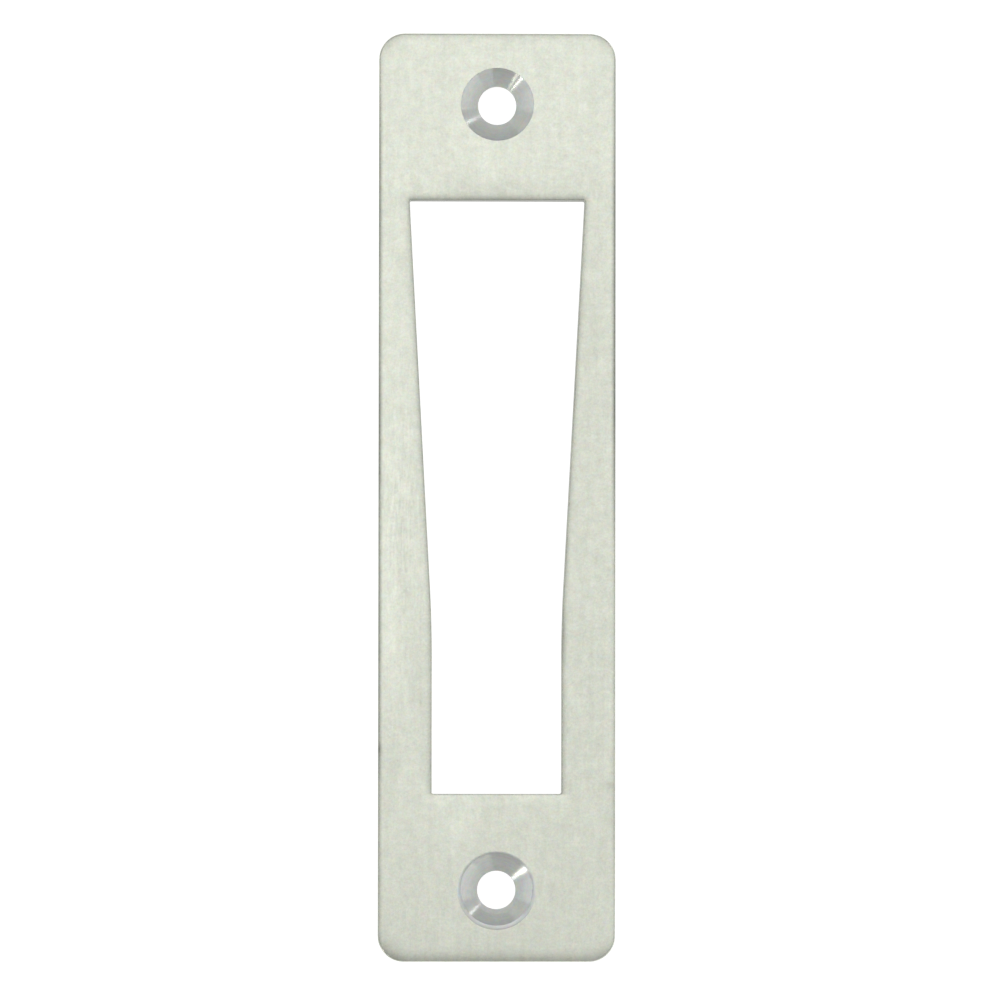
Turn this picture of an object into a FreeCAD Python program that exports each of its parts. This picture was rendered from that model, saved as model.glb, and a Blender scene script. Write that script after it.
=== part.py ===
import FreeCAD, Part
import math
import os

import Sketcher

# A door strike plate, cut from stainless steel bar.
#
# The plate lies on its back. X runs across it and Y along it, from foot to head. The
# origin is the middle of the back face, and the front face looks up, along Z. The four
# corners of the blank are round. Its ends were sheared, so the front face rolls down to
# them, and it rolls down in the same way to the punched window. The window takes the
# latch and the bolt: its sides stand upright at the foot, then bend and open out towards
# the head. A flat-head screw goes through each end.

NODE = "strike_plate"

# Each size stands in one row: its name, its value in mm or degrees, what it measures.
SIZES = (
    ("plate_length", 123.8, "foot to head, 4 7/8 in"),
    ("plate_width", 31.6, "side to side, 1 1/4 in less the play in its mortise"),
    ("plate_thickness", 3.0, "back face to front face"),
    ("corner_radius", 3.5, "outline of the four corners"),
    ("outline_edge_radius", 0.2, "tumbled front edge of the outline"),
    ("window_edge_radius", 0.12, "tumbled front edge of the window"),
    ("back_edge_radius", 0.15, "tumbled edges of the back, outline and window"),
    ("end_roll_length", 1.7, "stretch of the front face that rolls down to an end"),
    ("end_roll_depth", 0.16, "how deep it rolls down"),
    ("end_roll_overhang", 1.4, "how far outside the long sides that roll goes by"),
    ("window_end_margin", 22.3, "from each end of the plate to the window"),
    ("window_side_margin", 4.1, "from each long side to the window's wide head"),
    ("window_taper", 3.05, "how far each side of the window closes in, head to foot"),
    ("window_upright_length", 18.7, "from the window's foot to its bends"),
    ("window_bend_radius", 150.0, "slow bend between upright and sloping side"),
    ("window_corner_radius", 0.25, "corners of the window"),
    ("window_roll_length", 1.6, "stretch of the front face that rolls down to it"),
    ("window_roll_depth", 0.125, "how deep it rolls down"),
    ("screw_inset", 9.5, "from each end to a screw hole, which sets them 4 1/8 in apart"),
    ("screw_hole_diameter", 5.1, "clearance for an M5 or No. 10 screw"),
    ("countersink_diameter", 9.7, "screw head's cone at the front face"),
    ("countersink_angle", 90.0, "full angle of that cone"),
    ("foot_countersink_shift", 0.13, "the foot's cone was cut this far towards the head"),
    ("foot_lip_width", 0.35, "shallow ring round the foot's countersink"),
    ("foot_lip_slope", 8.0, "slope of that ring's face"),
)

# What follows from those sizes, as expressions for the sketches.
WINDOW_LENGTH = "(sizes.plate_length - 2 * sizes.window_end_margin)"
WINDOW_HEAD_WIDTH = "(sizes.plate_width - 2 * sizes.window_side_margin)"
WINDOW_FOOT_WIDTH = f"({WINDOW_HEAD_WIDTH} - 2 * sizes.window_taper)"
SCREW_SPACING = "(sizes.plate_length - 2 * sizes.screw_inset)"
FOOT_LIP_DIAMETER = "(sizes.countersink_diameter + 2 * sizes.foot_lip_width)"
FOOT_LIP_ANGLE = "(180 - 2 * sizes.foot_lip_slope)"


def add_sheet(doc):
    """Put the sizes in a sheet, where each value's alias is the size's name."""
    sheet = doc.addObject("Spreadsheet::Sheet", "sizes")
    for row, (name, value, meaning) in enumerate(SIZES, start=1):
        sheet.set(f"A{row}", name)
        sheet.set(f"B{row}", str(value))
        sheet.set(f"C{row}", meaning)
        sheet.setAlias(f"B{row}", name)
    doc.recompute()


# Sketching

def add_sketch(body, name, plane, shift):
    """Lay a sketch on an origin plane of the body, its own origin shifted by expressions."""
    sketch = body.newObject("Sketcher::SketchObject", name)
    support = [item for item in body.Origin.OriginFeatures if item.Role == plane][0]
    sketch.AttachmentSupport = [(support, "")]
    sketch.MapMode = "FlatFace"
    for axis, expression in shift.items():
        sketch.setExpression(f".AttachmentOffset.Base.{axis}", expression)
    body.Document.recompute()
    return sketch


def line(sketch, x1, y1, x2, y2):
    start = FreeCAD.Vector(x1, y1, 0)
    end = FreeCAD.Vector(x2, y2, 0)
    return sketch.addGeometry(Part.LineSegment(start, end))


def circle(sketch, x, y, radius):
    centre = FreeCAD.Vector(x, y, 0)
    return sketch.addGeometry(Part.Circle(centre, FreeCAD.Vector(0, 0, 1), radius))


def arc(sketch, x, y, radius, start_degrees, end_degrees):
    round_line = Part.Circle(FreeCAD.Vector(x, y, 0), FreeCAD.Vector(0, 0, 1), radius)
    start = math.radians(start_degrees)
    end = math.radians(end_degrees)
    return sketch.addGeometry(Part.ArcOfCircle(round_line, start, end))


def numbered(where):
    """Turn the words for points and axes into a sketch's own numbers for them."""
    own = {"start": 1, "end": 2, "centre": 3, "across": -1, "upright": -2}
    return [own.get(item, item) for item in where]


def relate(sketch, kind, *where):
    sketch.addConstraint(Sketcher.Constraint(kind, *numbered(where)))


def measure(sketch, expression, kind, *where):
    """Add a dimension, and let an expression of the sizes drive it."""
    value = float(sketch.evalExpression(expression))
    number = sketch.addConstraint(Sketcher.Constraint(kind, *numbered(where), value))
    sketch.setExpression(f"Constraints[{number}]", expression)


def join(sketch, kind, *chain):
    """Join the end of each line or arc of a chain to the start of the next."""
    for item, following in zip(chain, chain[1:]):
        relate(sketch, kind, item, "end", following, "start")


def draw_round_rectangle(sketch, width, length, radius):
    """Draw a rectangle with round corners about the sketch's origin."""
    r = sketch.evalExpression(radius)
    x = sketch.evalExpression(width) / 2
    y = sketch.evalExpression(length) / 2
    foot = line(sketch, r - x, -y, x - r, -y)
    foot_right = arc(sketch, x - r, r - y, r, 270, 360)
    right = line(sketch, x, r - y, x, y - r)
    head_right = arc(sketch, x - r, y - r, r, 0, 90)
    head = line(sketch, x - r, y, r - x, y)
    head_left = arc(sketch, r - x, y - r, r, 90, 180)
    left = line(sketch, -x, y - r, -x, r - y)
    foot_left = arc(sketch, r - x, r - y, r, 180, 270)

    join(sketch, "Tangent", foot, foot_right, right, head_right, head)
    join(sketch, "Tangent", head, head_left, left, foot_left, foot)
    for side in (foot, head):
        relate(sketch, "Horizontal", side)
    for side in (left, right):
        relate(sketch, "Vertical", side)
    for corner in (head_right, head_left, foot_left):
        relate(sketch, "Equal", foot_right, corner)
    relate(sketch, "Symmetric", foot_left, "centre", head_right, "centre", "across", "start")
    measure(sketch, radius, "Radius", foot_right)
    measure(sketch, width, "DistanceX", left, "start", right, "start")
    measure(sketch, length, "DistanceY", foot, "start", head, "start")


def draw_window(sketch):
    """Draw the window's outline, the same on both sides of the plate's long axis."""
    r = sketch.evalExpression("sizes.window_corner_radius")
    bend = sketch.evalExpression("sizes.window_bend_radius")
    foot_x = sketch.evalExpression(WINDOW_FOOT_WIDTH) / 2
    head_x = sketch.evalExpression(WINDOW_HEAD_WIDTH) / 2
    y = sketch.evalExpression(WINDOW_LENGTH) / 2
    bend_y = sketch.evalExpression("sizes.window_upright_length") - y
    slope = math.atan((head_x - foot_x) / (y - bend_y))
    slope_x = foot_x + bend * (1 - math.cos(slope))
    slope_y = bend_y + bend * math.sin(slope)
    lean = math.degrees(slope)

    foot = line(sketch, r - foot_x, -y, foot_x - r, -y)
    foot_right = arc(sketch, foot_x - r, r - y, r, 270, 360)
    right = line(sketch, foot_x, r - y, foot_x, bend_y)
    right_bend = arc(sketch, foot_x + bend, bend_y, bend, 180 - lean, 180)
    right_slope = line(sketch, slope_x, slope_y, head_x, y - r)
    head_right = arc(sketch, head_x - r, y - r, r, -lean, 90)
    head = line(sketch, head_x - r, y, r - head_x, y)
    head_left = arc(sketch, r - head_x, y - r, r, 90, 180 + lean)
    left_slope = line(sketch, -head_x, y - r, -slope_x, slope_y)
    left_bend = arc(sketch, -foot_x - bend, bend_y, bend, 0, lean)
    left = line(sketch, -foot_x, bend_y, -foot_x, r - y)
    foot_left = arc(sketch, r - foot_x, r - y, r, 180, 270)

    join(sketch, "Tangent", left, foot_left, foot, foot_right, right)
    join(sketch, "Tangent", right_slope, head_right, head, head_left, left_slope)
    relate(sketch, "Tangent", right, "end", right_bend, "end")
    relate(sketch, "Tangent", right_bend, "start", right_slope, "start")
    relate(sketch, "Tangent", left_slope, "end", left_bend, "end")
    relate(sketch, "Tangent", left_bend, "start", left, "start")
    for side in (left, right):
        relate(sketch, "Vertical", side)
    for side in (foot, head):
        relate(sketch, "Symmetric", side, "start", side, "end", "upright")
    relate(sketch, "Horizontal", left, "start", right, "end")
    for corner in (head_right, head_left, foot_left):
        relate(sketch, "Equal", foot_right, corner)
    relate(sketch, "Equal", right_bend, left_bend)

    measure(sketch, "sizes.window_corner_radius", "Radius", foot_right)
    measure(sketch, "sizes.window_bend_radius", "Radius", right_bend)
    measure(sketch, WINDOW_FOOT_WIDTH, "DistanceX", left, "start", right, "start")
    measure(sketch, WINDOW_HEAD_WIDTH, "DistanceX", left_slope, "start", right_slope, "end")
    measure(sketch, WINDOW_LENGTH, "DistanceY", foot, "start", head, "start")
    measure(sketch, "sizes.window_upright_length", "DistanceY", foot, "start", right, "end")
    measure(sketch, f"{WINDOW_LENGTH} / 2", "DistanceY", foot, "start", "across", "start")


def draw_roll(sketch, length, depth, run_on):
    """Draw what a roll-over takes off the front face, with the edge at the sketch's origin.

    An arc leaves the face level, at length before the edge, and is down by depth at the
    edge. From there the outline runs on straight, past the edge, and closes above the face.
    """
    reach = sketch.evalExpression(length)
    drop = sketch.evalExpression(depth)
    past = sketch.evalExpression(run_on)
    radius = (reach * reach + drop * drop) / (2 * drop)
    slope = math.asin(reach / radius)
    past_drop = drop + past * math.tan(slope)

    roll = arc(sketch, -reach, -radius, radius, 90 - math.degrees(slope), 90)
    tail = line(sketch, 0, -drop, past, -past_drop)
    outside = line(sketch, past, -past_drop, past, drop)
    above = line(sketch, past, drop, -reach, drop)
    inside = line(sketch, -reach, drop, -reach, 0)

    relate(sketch, "Tangent", roll, "start", tail, "start")
    join(sketch, "Coincident", tail, outside, above, inside)
    relate(sketch, "Coincident", inside, "end", roll, "end")
    relate(sketch, "PointOnObject", roll, "end", "across")
    relate(sketch, "PointOnObject", roll, "start", "upright")
    relate(sketch, "Vertical", roll, "centre", roll, "end")
    relate(sketch, "Horizontal", above)
    for side in (outside, inside):
        relate(sketch, "Vertical", side)
    measure(sketch, length, "DistanceX", roll, "end", roll, "start")
    measure(sketch, depth, "DistanceY", roll, "start", roll, "end")
    measure(sketch, run_on, "DistanceX", tail, "start", tail, "end")
    measure(sketch, depth, "DistanceY", inside, "end", inside, "start")


def draw_cone(sketch, diameter, angle):
    """Draw half of a cone that opens at the sketch's origin and stands on its tip."""
    r = sketch.evalExpression(diameter) / 2
    depth = r / math.tan(math.radians(sketch.evalExpression(angle) / 2))
    rim = line(sketch, 0, 0, r, 0)
    flank = line(sketch, r, 0, 0, -depth)
    middle = line(sketch, 0, -depth, 0, 0)
    join(sketch, "Coincident", rim, flank, middle, rim)
    relate(sketch, "Coincident", rim, "start", "across", "start")
    relate(sketch, "Horizontal", rim)
    relate(sketch, "Vertical", middle)
    measure(sketch, f"{diameter} / 2", "DistanceX", rim, "start", rim, "end")
    measure(sketch, f"{angle} / 2 * 1 deg", "Angle", flank, "end", middle, "start")


# Features

FRONT_FACE = {"z": "sizes.plate_thickness"}


def across_plate(along):
    """Shift a sketch that stands across the plate to the front face, and along the plate."""
    return {"x": along, "y": "sizes.plate_thickness"}


def add_blank(body):
    outline = add_sketch(body, "PlateOutline", "XY_Plane", {})
    draw_round_rectangle(
        outline, "sizes.plate_width", "sizes.plate_length", "sizes.corner_radius"
    )
    blank = body.newObject("PartDesign::Pad", "Blank")
    blank.Profile = outline
    blank.setExpression("Length", "sizes.plate_thickness")


def cut_roll(body, name, path, profile):
    """Take a roll-over off the front face, all along a path that lies in it."""
    roll = body.newObject("PartDesign::SubtractivePipe", name)
    roll.Profile = profile
    roll.Spine = (path, [])
    roll.Mode = "Binormal"
    roll.Binormal = FreeCAD.Vector(0, 0, 1)


def roll_ends(body):
    """Roll the face down to both ends, fading out round the corners.

    The path follows the ends but goes by outside the long sides. Its corners are wider
    than the plate's by the same overhang, so it never comes inside the outline.
    """
    path = add_sketch(body, "EndRollPath", "XY_Plane", FRONT_FACE)
    draw_round_rectangle(
        path,
        "sizes.plate_width + 2 * sizes.end_roll_overhang",
        "sizes.plate_length",
        "sizes.corner_radius + sizes.end_roll_overhang",
    )
    profile = add_sketch(
        body, "EndRollProfile", "YZ_Plane", across_plate("sizes.plate_length / 2")
    )
    draw_roll(
        profile, "sizes.end_roll_length", "sizes.end_roll_depth", "sizes.end_roll_depth"
    )
    cut_roll(body, "EndRoll", path, profile)


def punch_window(body):
    """Roll the face down to the window, then cut the window itself."""
    outline = add_sketch(body, "WindowOutline", "XY_Plane", FRONT_FACE)
    draw_window(outline)
    profile = add_sketch(
        body, "WindowRollProfile", "YZ_Plane", across_plate(f"-{WINDOW_LENGTH} / 2")
    )
    draw_roll(
        profile,
        "sizes.window_roll_length",
        "sizes.window_roll_depth",
        "sizes.window_corner_radius / 2",
    )
    cut_roll(body, "WindowRoll", outline, profile)
    window = body.newObject("PartDesign::Pocket", "Window")
    window.Profile = outline
    window.Type = "ThroughAll"


def drill_screw_holes(body):
    centres = add_sketch(body, "ScrewHoleCentres", "XY_Plane", FRONT_FACE)
    y = centres.evalExpression(SCREW_SPACING) / 2
    r = centres.evalExpression("sizes.screw_hole_diameter") / 2
    head = circle(centres, 0, y, r)
    foot = circle(centres, 0, -y, r)
    relate(centres, "PointOnObject", head, "centre", "upright")
    relate(centres, "Symmetric", head, "centre", foot, "centre", "across", "start")
    relate(centres, "Equal", head, foot)
    measure(centres, "sizes.screw_hole_diameter", "Diameter", head)
    measure(centres, SCREW_SPACING, "DistanceY", foot, "centre", head, "centre")

    holes = body.newObject("PartDesign::Hole", "ScrewHoles")
    holes.Profile = centres
    body.Document.recompute()
    holes.Threaded = False
    holes.DepthType = "ThroughAll"
    holes.setExpression("Diameter", "sizes.screw_hole_diameter")


def cut_cone(body, name, along, diameter, angle):
    """Cut a cone into the front face, centred at a place along the plate's middle line."""
    profile = add_sketch(body, f"{name}Profile", "YZ_Plane", across_plate(along))
    draw_cone(profile, diameter, angle)
    cone = body.newObject("PartDesign::Groove", name)
    cone.Profile = profile
    cone.ReferenceAxis = (profile, ["V_Axis"])
    cone.Angle = 360


def countersink_screw_holes(body):
    """Countersink both holes; the foot's cone sits a little off its hole, in a shallow lip."""
    diameter = "sizes.countersink_diameter"
    angle = "sizes.countersink_angle"
    head = f"{SCREW_SPACING} / 2"
    foot = f"-{SCREW_SPACING} / 2"
    cut_cone(body, "HeadCountersink", head, diameter, angle)
    foot_cone = f"{foot} + sizes.foot_countersink_shift"
    cut_cone(body, "FootCountersink", foot_cone, diameter, angle)
    cut_cone(body, "FootLip", foot, FOOT_LIP_DIAMETER, FOOT_LIP_ANGLE)


def is_upright_wall(face):
    """True for a wall of the outline or the window, false for a screw hole's wall."""
    surface = face.Surface
    if isinstance(surface, Part.Plane):
        return abs(surface.Axis.z) < 0.5
    return isinstance(surface, Part.Cylinder) and abs(surface.Center.x) > surface.Radius / 2


def faces_outward(wall):
    """True for a wall of the outline, false for one of the window, which faces the middle."""
    u_start, u_end, v_start, v_end = wall.ParameterRange
    u = (u_start + u_end) / 2
    v = (v_start + v_end) / 2
    return wall.normalAt(u, v).dot(wall.valueAt(u, v)) > 0


def wall_rims(shape, at_front, of_outline):
    """Name the edges at the front or back ends of the outline's or the window's walls."""
    middle = shape.BoundBox.Center.z
    names = []
    for number, edge in enumerate(shape.Edges, start=1):
        in_front = [vertex.Z > middle for vertex in edge.Vertexes]
        on_side = all(in_front) if at_front else not any(in_front)
        walls = [f for f in shape.ancestorsOfType(edge, Part.Face) if is_upright_wall(f)]
        if on_side and walls and faces_outward(walls[0]) == of_outline:
            names.append(f"Edge{number}")
    return names


def round_rims(body, name, at_front, of_outline, radius):
    body.Document.recompute()
    base = body.Tip
    rims = wall_rims(base.Shape, at_front, of_outline)
    fillet = body.newObject("PartDesign::Fillet", name)
    fillet.Base = (base, rims)
    fillet.setExpression("Radius", radius)


# Checks before the export

def check_document(doc):
    doc.recompute()
    for item in doc.Objects:
        if {"Invalid", "Error"} & set(item.State):
            raise RuntimeError(f"{item.Name} failed: {item.State}")
        if item.isDerivedFrom("Sketcher::SketchObject") and not item.FullyConstrained:
            raise RuntimeError(f"{item.Name} has free points")


def check_body(body):
    """Every feature after the blank takes some metal away and leaves one sound solid."""
    volume = math.inf
    for feature in body.Group:
        if not feature.isDerivedFrom("PartDesign::Feature"):
            continue
        shape = feature.Shape
        if shape.isNull() or not shape.isValid() or len(shape.Solids) != 1:
            raise RuntimeError(f"{feature.Name} leaves no sound solid")
        if shape.Volume >= volume:
            raise RuntimeError(f"{feature.Name} takes no metal away")
        volume = shape.Volume


doc = FreeCAD.newDocument(NODE)
add_sheet(doc)
body = doc.addObject("PartDesign::Body", "StrikePlate")
body.Label = NODE

add_blank(body)
roll_ends(body)
punch_window(body)
drill_screw_holes(body)
countersink_screw_holes(body)
round_rims(body, "OutlineFrontRims", True, True, "sizes.outline_edge_radius")
round_rims(body, "WindowFrontRims", True, False, "sizes.window_edge_radius")
round_rims(body, "OutlineBackRims", False, True, "sizes.back_edge_radius")
round_rims(body, "WindowBackRims", False, False, "sizes.back_edge_radius")

check_document(doc)
check_body(body)
os.makedirs("parts", exist_ok=True)
body.Shape.exportStep(f"parts/{body.Label}.step")
print(f"{body.Label}: {body.Shape.Volume:.1f} mm3, {len(body.Shape.Faces)} faces")
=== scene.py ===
import math

import bmesh
import bpy
from mathutils import Matrix, Vector, geometry, noise


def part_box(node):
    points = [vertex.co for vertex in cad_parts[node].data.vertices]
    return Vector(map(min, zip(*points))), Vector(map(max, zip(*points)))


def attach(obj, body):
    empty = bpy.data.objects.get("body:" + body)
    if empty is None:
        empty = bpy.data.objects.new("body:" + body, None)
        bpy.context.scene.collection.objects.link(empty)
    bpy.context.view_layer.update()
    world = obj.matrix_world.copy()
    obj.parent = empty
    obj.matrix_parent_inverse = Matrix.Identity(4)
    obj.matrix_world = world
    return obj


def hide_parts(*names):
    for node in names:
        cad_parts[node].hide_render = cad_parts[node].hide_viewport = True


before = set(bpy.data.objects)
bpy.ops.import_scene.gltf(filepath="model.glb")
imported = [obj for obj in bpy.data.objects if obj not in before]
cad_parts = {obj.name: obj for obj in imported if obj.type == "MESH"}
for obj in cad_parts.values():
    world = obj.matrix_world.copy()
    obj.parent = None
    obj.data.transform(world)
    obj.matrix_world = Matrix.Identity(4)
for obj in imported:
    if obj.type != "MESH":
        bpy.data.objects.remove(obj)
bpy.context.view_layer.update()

# Strike plate
# One flat piece of satin stainless steel, let into a door frame to take the latch and bolt.
# It is sheared from 3 mm bar and its window is punched, which rolls the front face down to
# those cuts. Both screw holes are drilled and countersunk, and tumbling rounds every rim.

MM = 0.001
low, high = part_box("strike_plate")
PLATE_LENGTH = high.y - low.y
PLATE_WIDTH = high.x - low.x
FRONT = high.z
CORNER_RADIUS = 3.5 * MM
OUTLINE_RIM = 0.2 * MM
WINDOW_RIM = 0.12 * MM
BACK_RIM = 0.15 * MM
# Lines of faces along the rims and the rolls, in mm in from each edge.
RIM_LINES = (0.01, 0.035, 0.075, 0.12, 0.16, 0.2)
ROLL_LINES = (0.3, 0.45, 0.65, 0.9, 1.2, 1.5, 1.9)
STEP_ALONG_EDGES = 0.25 * MM

# The face rolls down steeply beside a cut and eases out slowly further in.
END_ROLL_LENGTH = 3.4 * MM
END_ROLL_DEPTH = 0.16 * MM
END_ROLL_EASE = 5
END_ROLL_OVERHANG = 1.4 * MM
END_ROLL_LINES = (2.3 * MM, 2.8 * MM, 3.4 * MM)
WINDOW_ROLL_LENGTH = 1.9 * MM
WINDOW_ROLL_DEPTH = 0.125 * MM
WINDOW_ROLL_EASE = 3

WINDOW_TOP = 39.6 * MM
WINDOW_HEAD = 11.7 * MM
WINDOW_FOOT = 8.65 * MM
WINDOW_BEND_HEIGHT = 22.74 * MM
WINDOW_BEND_RADIUS = 150 * MM
WINDOW_CORNER_RADIUS = 0.25 * MM

SCREW_PLACE = 52.4 * MM
HOLE_RADIUS = 2.55 * MM
COUNTERSINK_RADIUS = 4.85 * MM
BROKEN_EDGE = 0.03 * MM
NEARLY_LEVEL = 0.003 * MM
FOOT_SHIFT = 0.13 * MM
LIP_WIDTH = 0.35 * MM
LIP_SLOPE = math.radians(8)
TURNED_STEPS = 128
TOOL_FEED = 0.135 * MM
TOOL_MARK_DEPTH = 0.0012 * MM
ROWS_PER_TURN = 4

# Painted shade darkens the plate's colour along its long sides, on the right only in the upper
# half, and round the window, and on the lower side of the foot's lip. Painted highlights
# lighten the head's rim and the window's foot.
SIDE_SHADE_START = 0.12 * MM
SIDE_SHADE_END = 0.62 * MM
SIDE_SHADE_LOST_AT_ENDS = 0.7
RIGHT_FOOT_SIDE_SHADE = 0.3
RIGHT_SIDE_CHANGE = 16 * MM
WINDOW_SHADE = 0.55
WINDOW_SHADE_WIDTH = 0.8 * MM
WINDOW_HIGHLIGHT = 0.3
HEAD_HIGHLIGHT = 0.45
HIGHLIGHT_WIDTH = 0.2 * MM
LIP_SHADE = 1.2

# The cut walls are smooth in their upper part, where the tool slid, and torn below it.
# Their rows of faces lie at these heights, in mm.
WALL_ROWS = (2.2, 1.85, 1.5, 1.3, 1.1, 0.9, 0.7, 0.5, 0.32)
TORN_FROM = 1.35 * MM
TORN_DEPTH = 0.05 * MM
TORN_ROUGHNESS = 0.025 * MM

SATIN, SHEARED, TURNED = range(3)


def round_rectangle_face(bm, width, length, radius, steps):
    """A flat face with four round corners, level with the front."""
    place = Matrix.Translation((0, 0, FRONT)) @ Matrix.Diagonal((width, length, 1, 1))
    made = bmesh.ops.create_grid(bm, x_segments=1, y_segments=1, size=0.5, matrix=place)
    bmesh.ops.bevel(
        bm, geom=made["verts"], offset=radius, offset_type="OFFSET", segments=steps,
        profile=0.5, affect="VERTICES", material=-1,
    )
    return next(iter(bm.faces))


def window_face(bm):
    """The window as a flat face: upright at its foot, then bent and opening to its head."""
    bend_y = WINDOW_BEND_HEIGHT - WINDOW_TOP
    lean = math.atan((WINDOW_HEAD - WINDOW_FOOT) / (WINDOW_TOP - bend_y))
    right = [(WINDOW_FOOT, -WINDOW_TOP), (WINDOW_FOOT, bend_y), (WINDOW_HEAD, WINDOW_TOP)]
    left = [(-x, y) for x, y in reversed(right)]
    verts = [bm.verts.new((x, y, FRONT)) for x, y in right + left]
    before = set(bm.faces)
    bm.faces.new(verts)
    bends = [verts[1], verts[4]]
    corners = [verts[0], verts[2], verts[3], verts[5]]
    for group, offset, steps in (
        (bends, WINDOW_BEND_RADIUS * math.tan(lean / 2), 6),
        (corners, WINDOW_CORNER_RADIUS, 5),
    ):
        bmesh.ops.bevel(
            bm, geom=group, offset=offset, offset_type="OFFSET", segments=steps,
            profile=0.5, affect="VERTICES", material=-1,
        )
    return next(f for f in bm.faces if f not in before)


def open_outline(bm, face):
    """Keep only a face's edges, in even steps, and return the line of its corners."""
    corners = [v.co.xy.copy() for v in face.verts]
    edges = list(face.edges)
    bmesh.ops.delete(bm, geom=[face], context="FACES_ONLY")
    for edge in edges:
        cuts = round(edge.calc_length() / STEP_ALONG_EDGES) - 1
        if cuts > 0:
            bmesh.ops.subdivide_edges(bm, edges=[edge], cuts=cuts)
    return corners


def countersink_profile(has_lip, seed):
    """Radius and height of a screw hole's wall, from the front rim down to the back."""
    points = []
    mouth_height = FRONT - (COUNTERSINK_RADIUS - HOLE_RADIUS)
    if has_lip:
        rim_radius = COUNTERSINK_RADIUS + LIP_WIDTH
        fall = math.tan(LIP_SLOPE)
        cone_radius = (COUNTERSINK_RADIUS - rim_radius * fall) / (1 - fall)
        cone_height = FRONT - (COUNTERSINK_RADIUS - cone_radius)
        points += [(rim_radius + BROKEN_EDGE, FRONT)]
        points += [(rim_radius - BROKEN_EDGE, FRONT - BROKEN_EDGE * fall)]
        points += [(cone_radius + BROKEN_EDGE, cone_height + BROKEN_EDGE * fall)]
    else:
        cone_radius = COUNTERSINK_RADIUS
        cone_height = FRONT
        points += [(cone_radius + BROKEN_EDGE, FRONT)]
    slant = math.hypot(cone_radius - HOLE_RADIUS, cone_height - mouth_height)
    turns = slant / TOOL_FEED
    rows = round(turns * ROWS_PER_TURN)
    for row in range(1, rows):
        share = row / rows
        wander = noise.noise(Vector((share * turns * 0.7, seed, 0)))
        wave = math.sin(2 * math.pi * share * turns + 2 * wander)
        lift = TOOL_MARK_DEPTH * wave * (0.6 + wander) / math.sqrt(2)
        radius = cone_radius + (HOLE_RADIUS - cone_radius) * share
        height = cone_height + (mouth_height - cone_height) * share
        points += [(radius - lift, height + lift)]
    points += [(HOLE_RADIUS, mouth_height - BROKEN_EDGE)]
    points += [(HOLE_RADIUS, mouth_height * share) for share in (0.8, 0.6, 0.4, 0.2)]
    points += [(HOLE_RADIUS + BROKEN_EDGE, 0)]
    return points


def turn_hole(bm, y, shift, has_lip, seed):
    """Spin a hole's profile round its axis; its cone may sit off the hole by a shift."""
    profile = countersink_profile(has_lip, seed)
    verts = [bm.verts.new((radius, y, height)) for radius, height in profile]
    edges = [bm.edges.new(pair) for pair in zip(verts, verts[1:])]
    known = set(bm.verts) - set(verts)
    bmesh.ops.spin(
        bm, geom=verts + edges, cent=(0, y, 0), axis=(0, 0, 1), dvec=(0, 0, 0),
        angle=2 * math.pi, steps=TURNED_STEPS, use_merge=True,
    )
    for vert in set(bm.verts) - known:
        reach = math.hypot(vert.co.x, vert.co.y - y)
        on_cone = reach < COUNTERSINK_RADIUS and reach > HOLE_RADIUS + BROKEN_EDGE
        if on_cone:
            share = (reach - HOLE_RADIUS) / (COUNTERSINK_RADIUS - HOLE_RADIUS)
            vert.co.y += shift * min(1, 3 * share)


def rim_drop(distance, radius):
    """How far a rim rounded to a radius lies below its flat, at a distance from the edge."""
    reach = min(max(radius - distance, 0), radius)
    return radius - math.sqrt(radius * radius - reach * reach)


def roll_drop(distance, length, depth, ease):
    """How far a face that rolls down to a cut lies below its flat, at a distance from it."""
    return depth * min(max(1 - distance / length, 0), 1) ** ease


def in_from_round_rectangle(point, width, length, radius):
    """Distance from a point to the outline of the round rectangle that it lies in."""
    past_x = abs(point.x) - width / 2 + radius
    past_y = abs(point.y) - length / 2 + radius
    return radius - math.hypot(max(past_x, 0), max(past_y, 0)) - min(max(past_x, past_y), 0)


def from_line(point, line):
    """Distance from a point to the closed line through a list of corners."""
    nearest = []
    for start, end in zip(line, line[1:] + line[:1]):
        on_line, share = geometry.intersect_point_line(point, start, end)
        if share < 0:
            on_line = start
        if share > 1:
            on_line = end
        nearest.append((point - on_line.xy).length)
    return min(nearest)


def painted_side_shade(point):
    """How much painted shade darkens a point near the long sides, from 0 to 1."""
    to_side = PLATE_WIDTH / 2 - abs(point.x)
    share = (to_side - SIDE_SHADE_START) / (SIDE_SHADE_END - SIDE_SHADE_START)
    painted_tone = (1 + math.cos(math.pi * min(max(share, 0), 1))) / 2
    painted_tone *= min(max(2 * point.z / FRONT - 0.7, 0), 1)
    painted_tone *= 1 - SIDE_SHADE_LOST_AT_ENDS * (2 * point.y / PLATE_LENGTH) ** 4
    if point.x > 0:
        upward = min(max(0.5 + point.y / RIGHT_SIDE_CHANGE, 0), 1)
        painted_tone *= RIGHT_FOOT_SIDE_SHADE + (1 - RIGHT_FOOT_SIDE_SHADE) * upward
    return painted_tone


def on_long_side(point):
    """Whether a point on the outline's wall is on a long side, which no tool cut."""
    past_corners = abs(point.y) > PLATE_LENGTH / 2 - CORNER_RADIUS
    return abs(point.x) > PLATE_WIDTH / 2 - BACK_RIM and not past_corners


bm = bmesh.new()
across_grain = bm.loops.layers.uv.new("across_grain")
turned_place = bm.verts.layers.float_vector.new("turned_place")
painted_rim_tone = bm.verts.layers.float.new("painted_rim_tone")
outline = round_rectangle_face(bm, PLATE_WIDTH, PLATE_LENGTH, CORNER_RADIUS, 18)
open_outline(bm, outline)
window_line = open_outline(bm, window_face(bm))
turn_hole(bm, SCREW_PLACE, shift=0, has_lip=False, seed=3.7)
turn_hole(bm, -SCREW_PLACE, shift=FOOT_SHIFT, has_lip=True, seed=8.2)

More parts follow.
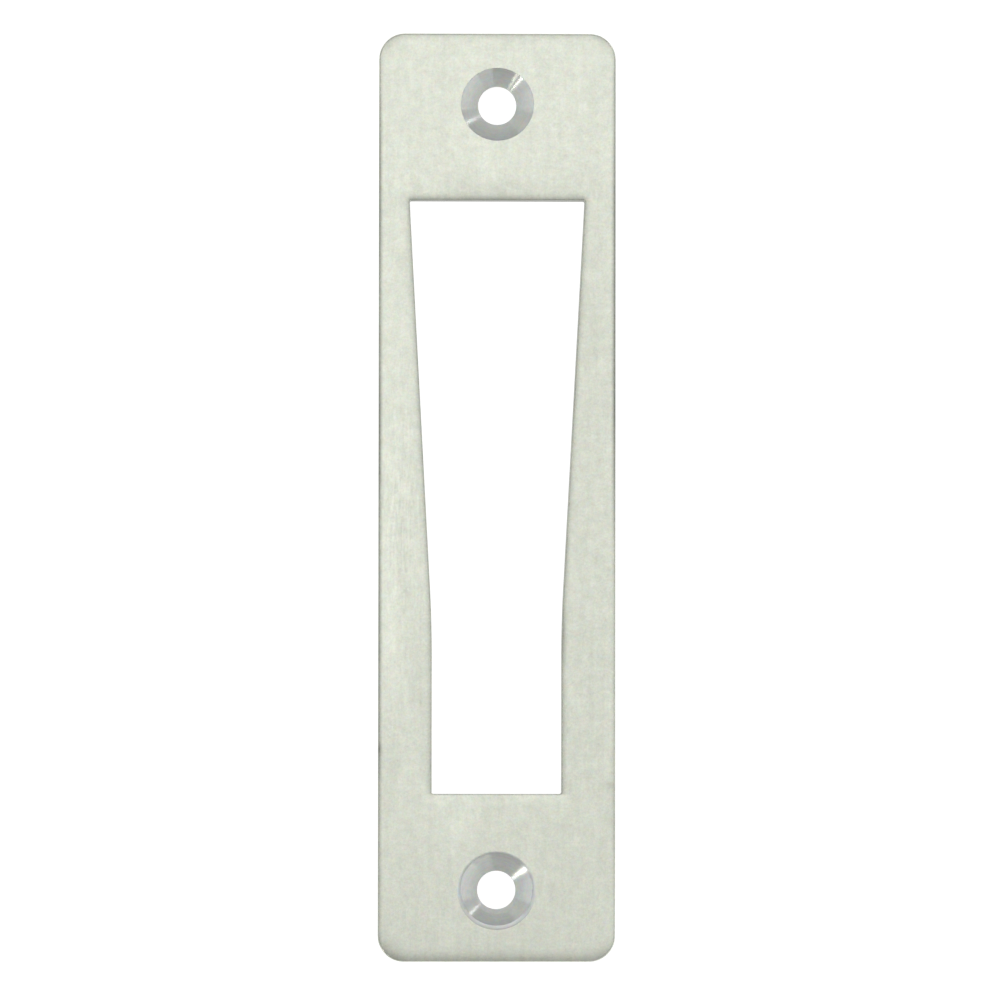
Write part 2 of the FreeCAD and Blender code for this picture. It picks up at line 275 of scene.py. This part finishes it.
# The front face spans the outline, the window and the rims of both countersinks.
front_lines = [
    e for e in bm.edges
    if len(e.link_faces) < 2 and min(v.co.z for v in e.verts) > FRONT - NEARLY_LEVEL
]
turned_faces = set(bm.faces)
filled = bmesh.ops.triangle_fill(bm, use_beauty=True, edges=front_lines, normal=(0, 0, 1))
front_faces = [f for f in filled["geom"] if isinstance(f, bmesh.types.BMFace)]
reached = 0
for place in RIM_LINES + ROLL_LINES:
    bmesh.ops.inset_region(
        bm, faces=front_faces, thickness=(place - reached) * MM, depth=0,
        use_boundary=True, use_even_offset=True,
    )
    reached = place
for side in (-1, 1):
    for place in END_ROLL_LINES:
        bmesh.ops.bisect_plane(
            bm, geom=[f for f in bm.faces if f not in turned_faces]
            + [e for e in bm.edges if not any(f in turned_faces for f in e.link_faces)]
            + [v for v in bm.verts if not any(f in turned_faces for f in v.link_faces)],
            plane_co=(0, side * (PLATE_LENGTH / 2 - place), 0), plane_no=(0, 1, 0),
        )

# The walls hang from the outline and the window, and the back closes them.
front_verts = {v for f in bm.faces if f not in turned_faces for v in f.verts}
wall_edges = [
    e for e in bm.edges if e.is_boundary and min(v.co.z for v in e.verts) > FRONT / 2
]
wall_verts = set()
for height in WALL_ROWS + (0,):
    made = bmesh.ops.extrude_edge_only(bm, edges=wall_edges)["geom"]
    wall_edges = [e for e in made if isinstance(e, bmesh.types.BMEdge)]
    row_verts = [v for v in made if isinstance(v, bmesh.types.BMVert)]
    for vert in row_verts:
        vert.co.z = height * MM
    wall_verts.update(row_verts)
    wall_edges = [e for e in wall_edges if e.is_boundary]
wall_faces = {f for v in wall_verts for f in v.link_faces}
back_lines = [e for e in bm.edges if e.is_boundary]
filled = bmesh.ops.triangle_fill(bm, use_beauty=True, edges=back_lines, normal=(0, 0, -1))
back_faces = [f for f in filled["geom"] if isinstance(f, bmesh.types.BMFace)]
reached = 0
for place in [BACK_RIM * (1 - math.cos(math.pi / 6 * row)) for row in range(1, 4)]:
    bmesh.ops.inset_region(bm, faces=back_faces, thickness=place - reached, depth=0)
    reached = place
back_verts = {v for v in bm.verts if abs(v.co.z) < NEARLY_LEVEL}

for vert in front_verts:
    spot = vert.co.xy
    to_outline = in_from_round_rectangle(spot, PLATE_WIDTH, PLATE_LENGTH, CORNER_RADIUS)
    to_window = from_line(spot, window_line)
    to_end_roll = in_from_round_rectangle(
        spot, PLATE_WIDTH + 2 * END_ROLL_OVERHANG, PLATE_LENGTH,
        CORNER_RADIUS + END_ROLL_OVERHANG,
    )
    vert.co.z -= rim_drop(to_outline, OUTLINE_RIM) + rim_drop(to_window, WINDOW_RIM)
    vert.co.z -= roll_drop(to_end_roll, END_ROLL_LENGTH, END_ROLL_DEPTH, END_ROLL_EASE)
    vert.co.z -= roll_drop(
        to_window, WINDOW_ROLL_LENGTH, WINDOW_ROLL_DEPTH, WINDOW_ROLL_EASE
    )
for vert in back_verts:
    spot = vert.co.xy
    to_outline = in_from_round_rectangle(spot, PLATE_WIDTH, PLATE_LENGTH, CORNER_RADIUS)
    to_window = from_line(spot, window_line)
    vert.co.z += rim_drop(min(to_outline, to_window), BACK_RIM)

# The painted rim tone is positive where painted shade darkens the colour, and negative where a
# painted highlight lightens it.
# Painted shade along the long sides, from the rolled rim inwards.
for vert in bm.verts:
    vert[painted_rim_tone] = painted_side_shade(vert.co)
for vert in front_verts:
    to_window = from_line(vert.co.xy, window_line)
    # Painted shade round the window, and a painted highlight on the rim below the window's
    # foot.
    if vert.co.y > -WINDOW_TOP:
        vert[painted_rim_tone] += WINDOW_SHADE * max(0, 1 - to_window / WINDOW_SHADE_WIDTH) ** 2
    else:
        vert[painted_rim_tone] -= WINDOW_HIGHLIGHT * max(0, 1 - to_window / HIGHLIGHT_WIDTH)
    # A painted highlight on the head's rim.
    if vert.co.y > PLATE_LENGTH / 2 - CORNER_RADIUS:
        to_outline = in_from_round_rectangle(
            vert.co.xy, PLATE_WIDTH, PLATE_LENGTH, CORNER_RADIUS
        )
        vert[painted_rim_tone] -= HEAD_HIGHLIGHT * max(0, 1 - to_outline / HIGHLIGHT_WIDTH)
# Painted shade on the foot's lip, darkest on its lower side.
for vert in {v for f in turned_faces for v in f.verts}:
    reach = vert.co.xy + Vector((0, SCREW_PLACE))
    if COUNTERSINK_RADIUS + 2 * BROKEN_EDGE < reach.length < 2 * COUNTERSINK_RADIUS:
        vert[painted_rim_tone] = LIP_SHADE * max(0, -reach.normalized().y)

bmesh.ops.recalc_face_normals(bm, faces=bm.faces)
for face in bm.faces:
    face.smooth = True
    if face in turned_faces:
        face.material_index = TURNED
    elif face in wall_faces and not on_long_side(face.calc_center_median()):
        face.material_index = SHEARED
    else:
        face.material_index = SATIN

# Below the smooth band the walls tore away, a little hollow and rough.
bm.normal_update()
for vert in wall_verts:
    if vert.co.z < BACK_RIM * 2 or vert.co.z > TORN_FROM or on_long_side(vert.co):
        continue
    share = (TORN_FROM - vert.co.z) / (TORN_FROM - BACK_RIM)
    hollow = TORN_DEPTH * math.sin(math.pi * share)
    rough = TORN_ROUGHNESS * noise.noise(vert.co * 1300)
    inward = -vert.normal.xy.normalized() * max(0, hollow + rough)
    vert.co += inward.to_3d()

# The finish follows the tool: across the grain on the flats, down the cone in the holes.
UV_PER_METRE = 10
UV_PER_RADIAN = 0.05
for face in bm.faces:
    hole = Vector((0, math.copysign(SCREW_PLACE, face.calc_center_median().y), 0))
    middle = face.calc_center_median() - hole
    middle_angle = math.atan2(middle.y, middle.x)
    for loop in face.loops:
        spot = loop.vert.co - hole
        if face.material_index != TURNED:
            across = loop.vert.co.x - math.copysign(loop.vert.co.z, middle.x)
            loop[across_grain].uv = (across * UV_PER_METRE, loop.vert.co.y * UV_PER_METRE)
            continue
        angle = math.atan2(spot.y, spot.x)
        angle += 2 * math.pi * round((middle_angle - angle) / (2 * math.pi))
        run_in = -spot.xy.length - spot.z
        loop[across_grain].uv = (run_in * UV_PER_METRE, angle * UV_PER_RADIAN)
        loop.vert[turned_place] = (math.cos(angle), math.sin(angle), run_in / TOOL_FEED)

mesh = bpy.data.meshes.new("strike_plate_satin")
bm.to_mesh(mesh)
bm.free()
plate = bpy.data.objects.new("strike_plate_satin", mesh)
bpy.context.scene.collection.objects.link(plate)


def metal(name, roughness, anisotropy):
    """A new metal material for the plate, with its node tree and its shader."""
    material = bpy.data.materials.new(name)
    material.use_nodes = True
    mesh.materials.append(material)
    tree = material.node_tree
    shader = tree.nodes["Principled BSDF"]
    shader.inputs["Metallic"].default_value = 1
    shader.inputs["Roughness"].default_value = roughness
    shader.inputs["Anisotropic"].default_value = anisotropy
    if anisotropy:
        tangent = tree.nodes.new("ShaderNodeTangent")
        tangent.direction_type = "UV_MAP"
        tangent.uv_map = "across_grain"
        tree.links.new(tangent.outputs["Tangent"], shader.inputs["Tangent"])
    return tree, shader


def fill(tree, socket, value):
    """Link a value into a socket, or set it there if it is a plain number."""
    if isinstance(value, bpy.types.NodeSocket):
        tree.links.new(value, socket)
    else:
        socket.default_value = value


def calculate(tree, kind, *values):
    node = tree.nodes.new("ShaderNodeMath")
    node.operation = kind
    for socket, value in zip(node.inputs, values):
        fill(tree, socket, value)
    return node.outputs["Value"]


def noise_node(tree, place, scale, detail, stretch, fineness):
    mapping = tree.nodes.new("ShaderNodeMapping")
    mapping.vector_type = "TEXTURE"
    mapping.inputs["Scale"].default_value = [length / scale for length in stretch]
    fill(tree, mapping.inputs["Vector"], place)
    node = tree.nodes.new("ShaderNodeTexNoise")
    node.inputs["Scale"].default_value = 1
    node.inputs["Detail"].default_value = detail
    node.inputs["Roughness"].default_value = fineness
    fill(tree, node.inputs["Vector"], mapping.outputs["Vector"])
    return node


def cloud(tree, place, scale, detail=2.0, stretch=(1, 1, 1), fineness=0.5):
    """A cloudy pattern from 0 to 1, drawn out by a stretch along each axis."""
    return noise_node(tree, place, scale, detail, stretch, fineness).outputs["Fac"]


def coloured_speckle(tree, place, scale, detail, reaches, stretch=(1, 1, 1)):
    """A colour about white that wanders in red, green and blue, each up to its reach."""
    node = tree.nodes.new("ShaderNodeVectorMath")
    node.operation = "MULTIPLY_ADD"
    speckle = noise_node(tree, place, scale, detail, stretch, 1.0)
    fill(tree, node.inputs[0], speckle.outputs["Color"])
    node.inputs[1].default_value = [2 * reach for reach in reaches]
    node.inputs[2].default_value = [1 - reach for reach in reaches]
    return node.outputs["Vector"]


def around_zero(tree, pattern, reach):
    """Spread a pattern from 0 to 1 evenly about zero, up to a reach."""
    return calculate(tree, "MULTIPLY", calculate(tree, "SUBTRACT", pattern, 0.5), 2 * reach)


def patch(tree, place, centre, half_size, turn):
    """A soft oval patch on the face: 1 in its middle, 0 outside."""
    mapping = tree.nodes.new("ShaderNodeMapping")
    mapping.vector_type = "TEXTURE"
    mapping.inputs["Location"].default_value = (centre[0] * MM, centre[1] * MM, FRONT)
    mapping.inputs["Rotation"].default_value = (0, 0, math.radians(turn))
    mapping.inputs["Scale"].default_value = (half_size[0] * MM, half_size[1] * MM, 1 * MM)
    fill(tree, mapping.inputs["Vector"], place)
    node = tree.nodes.new("ShaderNodeTexGradient")
    node.gradient_type = "QUADRATIC_SPHERE"
    fill(tree, node.inputs["Vector"], mapping.outputs["Vector"])
    return node.outputs["Fac"]


def total(tree, values):
    summed = values[0]
    for value in values[1:]:
        summed = calculate(tree, "ADD", summed, value)
    return summed


def tinted(tree, colour, brightness):
    """A colour made lighter or darker by a pattern about 1."""
    node = tree.nodes.new("ShaderNodeVectorMath")
    node.operation = "SCALE"
    fill(tree, node.inputs[0], colour)
    fill(tree, node.inputs["Scale"], brightness)
    return node.outputs["Vector"]


def multiplied(tree, first, second):
    node = tree.nodes.new("ShaderNodeVectorMath")
    node.operation = "MULTIPLY"
    fill(tree, node.inputs[0], first)
    fill(tree, node.inputs[1], second)
    return node.outputs["Vector"]


def bumps(tree, shader, height, depth):
    node = tree.nodes.new("ShaderNodeBump")
    node.inputs["Distance"].default_value = depth
    fill(tree, node.inputs["Height"], height)
    fill(tree, shader.inputs["Normal"], node.outputs["Normal"])


# Patches where the satin is lighter or darker: marks left by handling and brushing, and painted
# shade over the lower half, along the rolled head, round the window and in the corners.
# Middle and half size in mm on the face, turn in degrees, and how much lighter.
MARKS_AND_PAINTED_SHADE = (
    # Painted shade: the lower half darker.
    ((0.0, -62.0), (40.0, 42.0), 0, -0.05),
    # Painted shade along the head's rolled end.
    ((0.0, 62.0), (60.0, 2.6), 0, -0.06),
    # Painted shade above the window's head, where the face rolls down.
    ((0.3, 40.4), (20.0, 5.0), 0, -0.14),
    ((-9.5, 50.0), (5.0, 11.0), 0, -0.03),
    ((10.8, 51.0), (4.5, 12.0), 0, 0.04),
    ((8.3, 49.2), (0.5, 4.6), 0, -0.04),
    ((12.6, 24.0), (11.0, 60.0), 0, -0.085),
    ((12.2, -20.0), (11.0, 60.0), 0, -0.065),
    # Painted shade: a dark line along the window's right side.
    ((8.9, -18.0), (0.8, 7.0), 0, -0.2),
    ((12.6, -35.6), (3.6, 1.0), 4, 0.05),
    ((15.2, -38.4), (1.9, 1.5), 0, -0.18),
    ((-14.3, 0.0), (2.8, 44.0), 0, 0.07),
    ((-14.2, -17.0), (2.2, 14.0), 0, 0.09),
    ((-10.2, -24.0), (2.0, 17.0), 0, -0.08),
    ((-12.0, 30.0), (2.0, 9.0), 0, -0.04),
    ((-11.6, 5.2), (2.0, 3.4), 35, -0.04),
    ((-15.6, -33.7), (0.8, 1.6), 0, -0.25),
    ((-14.0, -35.5), (4.0, 3.6), 0, -0.05),
    ((-5.2, -44.0), (5.0, 6.0), -8, 0.09),
    ((-9.0, -44.0), (1.0, 5.5), -4, -0.04),
    # Painted shade below the window's foot, where the face rolls down.
    ((0.0, -40.1), (16.0, 1.6), 0, -0.09),
    ((-8.5, -40.0), (1.2, 1.2), 0, -0.1),
    ((-11.5, -50.5), (3.4, 8.0), 0, -0.025),
    # Painted shade in the four corners, where the face rolls down.
    ((-16.3, 62.4), (5.0, 5.0), 0, -0.8),
    ((16.3, 62.4), (4.6, 4.6), 0, -0.7),
    ((-16.3, -62.4), (6.0, 6.0), 0, -0.75),
    ((16.3, -62.4), (4.5, 4.5), 0, -0.2),
)
# The left limb still shows the short strokes of a brush: middle, half size and turn.
STROKES_PLACE = ((-13.0, -2.0), (9.0, 40.0), 0)
SATIN_COLOUR = (0.70, 0.725, 0.635)
tree, shader = metal("satin_face", roughness=0.42, anisotropy=0.35)
place = tree.nodes.new("ShaderNodeTexCoord").outputs["Object"]
# The patches and the painted rim tone: marks, painted shade and painted highlights.
painted_tone = [
    calculate(tree, "MULTIPLY", patch(tree, place, centre, half_size, turn), lighter)
    for centre, half_size, turn, lighter in MARKS_AND_PAINTED_SHADE
]
mottle = around_zero(tree, cloud(tree, place, 450, 1.0), 0.045)
grain = cloud(tree, place, 6000, 2.0, (1, 14, 1))
speckle = around_zero(tree, cloud(tree, place, 2600, 2.0, fineness=1.0), 0.17)
streaks = around_zero(tree, cloud(tree, place, 1500, 3.0, (1, 10, 1)), 0.07)
strokes = around_zero(tree, cloud(tree, place, 3000, 2.0, (1, 7, 1)), 0.24)
brushed = calculate(tree, "MULTIPLY", strokes, patch(tree, place, *STROKES_PLACE))
# The painted rim tone: painted shade along the long sides and round the window, painted
# highlights on the head's rim and the window's foot.
rim = tree.nodes.new("ShaderNodeAttribute")
rim.attribute_name = "painted_rim_tone"
uneven = calculate(tree, "MULTIPLY_ADD", cloud(tree, place, 60, 2.0), -0.5, -0.25)
painted_tone.append(calculate(tree, "MULTIPLY", rim.outputs["Fac"], uneven))
brightness = total(tree, [1.0, mottle, speckle, streaks, brushed, *painted_tone])
colour_speckle = coloured_speckle(tree, place, 1250, 4.0, (0.2, 0.15, 0.26))
colour = multiplied(tree, SATIN_COLOUR, colour_speckle)
fill(tree, shader.inputs["Base Color"], tinted(tree, colour, brightness))
roughness = calculate(tree, "MULTIPLY_ADD", cloud(tree, place, 900, 3.0), 0.12, 0.36)
fill(tree, shader.inputs["Roughness"], roughness)
tumbled = cloud(tree, place, 3500, 3.0)
bumps(tree, shader, total(tree, [grain, tumbled]), 0.004 * MM)

# The cut walls: fine upright scratches above, then a wavy line and a duller torn part.
WALL_COLOUR = (0.58, 0.59, 0.56)
tree, shader = metal("sheared_wall", roughness=0.35, anisotropy=0)
shader.inputs["Specular Tint"].default_value = (0.42, 0.42, 0.41, 1)
place = tree.nodes.new("ShaderNodeTexCoord").outputs["Object"]
slid = cloud(tree, place, 5000, 2.0, (1, 1, 30))
torn = cloud(tree, place, 2500, 4.0)
height = tree.nodes.new("ShaderNodeSeparateXYZ")
fill(tree, height.inputs["Vector"], place)
wavy_end = calculate(tree, "MULTIPLY_ADD", cloud(tree, place, 300, 3.0), 0.5 * MM, 1.1 * MM)
is_torn = calculate(tree, "LESS_THAN", height.outputs["Z"], wavy_end)
torn_relief = calculate(tree, "MULTIPLY", torn, is_torn)
slid_relief = calculate(tree, "MULTIPLY", slid, 0.25)
bumps(tree, shader, total(tree, [torn_relief, slid_relief]), 0.02 * MM)
brightness = total(tree, [
    1.05, around_zero(tree, slid, 0.12), calculate(tree, "MULTIPLY", is_torn, -0.15)
])
fill(tree, shader.inputs["Base Color"], tinted(tree, WALL_COLOUR, brightness))
roughness = calculate(tree, "MULTIPLY_ADD", is_torn, 0.3, 0.28)
fill(tree, shader.inputs["Roughness"], roughness)

# The screw holes: fine turning lines round the cones, and painted shade on the lower side of
# the foot's lip.
TURNED_COLOUR = (0.635, 0.655, 0.63)
tree, shader = metal("turned_countersink", roughness=0.3, anisotropy=0.97)
attribute = tree.nodes.new("ShaderNodeAttribute")
attribute.attribute_name = "turned_place"
place = attribute.outputs["Vector"]
lines = cloud(tree, place, 1.0, 3.0, (1, 1, 0.4))
# The painted rim tone darkens the foot's lip with painted shade.
rim = tree.nodes.new("ShaderNodeAttribute")
rim.attribute_name = "painted_rim_tone"
painted_lip_shade = calculate(tree, "MULTIPLY", rim.outputs["Fac"], -0.35)
brightness = total(tree, [1.0, around_zero(tree, lines, 0.13), painted_lip_shade])
hue = coloured_speckle(tree, place, 1.3, 2.0, (0.13, 0.1, 0.14), (1, 1, 10))
face_place = tree.nodes.new("ShaderNodeTexCoord").outputs["Object"]
speckle = coloured_speckle(tree, face_place, 1250, 4.0, (0.32, 0.25, 0.36))
colour = multiplied(tree, multiplied(tree, TURNED_COLOUR, hue), speckle)
fill(tree, shader.inputs["Base Color"], tinted(tree, colour, brightness))
bumps(tree, shader, lines, 0.0008 * MM)

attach(plate, "root")
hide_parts("strike_plate")

# Table top
# The plate lies on its back on a plain white table top, which isn't part of it.
bm = bmesh.new()
bmesh.ops.create_grid(bm, x_segments=1, y_segments=1, size=1.5)
bmesh.ops.translate(bm, verts=bm.verts, vec=(0, 0, -0.02 * MM))
table_mesh = bpy.data.meshes.new("table_top")
bm.to_mesh(table_mesh)
bm.free()
table = bpy.data.objects.new("table_top", table_mesh)
bpy.context.scene.collection.objects.link(table)
white = bpy.data.materials.new("white_table")
white.use_nodes = True
shader = white.node_tree.nodes["Principled BSDF"]
shader.inputs["Base Color"].default_value = (0.3, 0.3, 0.3, 1)
shader.inputs["Roughness"].default_value = 0.9
shader.inputs["Emission Color"].default_value = (1, 1, 1, 1)
shader.inputs["Emission Strength"].default_value = 0.9
table_mesh.materials.append(white)

# Light
# A pale room and a broad soft panel overhead. Low panels round about light the sides of the
# countersinks, and three narrow upright lamps draw the bright rays in them.
scene = bpy.context.scene
scene.view_settings.view_transform = "Standard"
world = bpy.data.worlds.new("pale_room")
world.use_nodes = True
room = world.node_tree.nodes["Background"]
room.inputs["Color"].default_value = (1, 1, 1, 1)
room.inputs["Strength"].default_value = 0.4
scene.world = world


def add_panel(name, place, width, height, brightness, colour=(1, 1, 1)):
    """A soft light panel that faces the plate; brightness is what a mirror would show."""
    light = bpy.data.lights.new(name, "AREA")
    light.shape = "RECTANGLE"
    light.size = width
    light.size_y = height
    light.energy = brightness * math.pi * width * height
    light.color = colour
    panel = bpy.data.objects.new(name, light)
    panel.location = place
    panel.rotation_euler = Vector(place).to_track_quat("Z", "Y").to_euler()
    scene.collection.objects.link(panel)


WARM = (1, 0.98, 0.86)

add_panel("overhead_panel", (0, 0.23, 1.3), 0.85, 0.93, 1.28)
add_panel("head_panel", (0, 1.0, 1.1), 1.2, 0.5, 0.1)
add_panel("left_panel", (-1.2, 0, 0.25), 0.9, 0.45, 1.15)
add_panel("far_left_panel", (-0.92, 0.77, 0.25), 0.8, 0.45, 0.55)
add_panel("near_left_panel", (-1.02, -0.64, 0.25), 0.5, 0.45, 0.8)
add_panel("right_panel", (1.15, -0.35, 0.25), 1.5, 0.45, 1.25)
add_panel("near_right_panel", (0.54, -1.07, 0.25), 0.7, 0.45, 0.65)
add_panel("far_right_panel", (1.06, 0.563, 0.25), 0.6, 0.45, 0.5)
add_panel("near_lamp", (-0.175, -0.197, 0.1), 0.017, 0.14, 4.2, WARM)
add_panel("left_lamp", (-0.382, -0.327, 0.174), 0.024, 0.24, 10, WARM)
add_panel("right_lamp", (0.62, 0.486, 0.24), 0.05, 0.3, 4)

# Camera
# It looks down on the plate from almost straight above, like the photograph.
CAMERA_PLACE = Vector((-16 * MM, -25 * MM, 889 * MM))
CAMERA_AIM = Vector((0.40 * MM, -0.43 * MM, FRONT))
CAMERA_ROLL = math.radians(0.07)
FRAME_WIDTH = 133.25 * MM
camera_data = bpy.data.cameras.new("camera")
camera = bpy.data.objects.new("camera", camera_data)
back = (CAMERA_PLACE - CAMERA_AIM).normalized()
right = Vector((0, 1, 0)).cross(back).normalized()
upward = back.cross(right)
upright = Matrix((right, upward, back)).transposed()
camera.location = CAMERA_PLACE
camera.rotation_euler = (upright @ Matrix.Rotation(CAMERA_ROLL, 3, "Z")).to_euler()
camera_data.lens = camera_data.sensor_width * (CAMERA_PLACE - CAMERA_AIM).length / FRAME_WIDTH
camera_data.clip_start = 0.05
camera_data.clip_end = 20
scene.collection.objects.link(camera)
scene.camera = camera
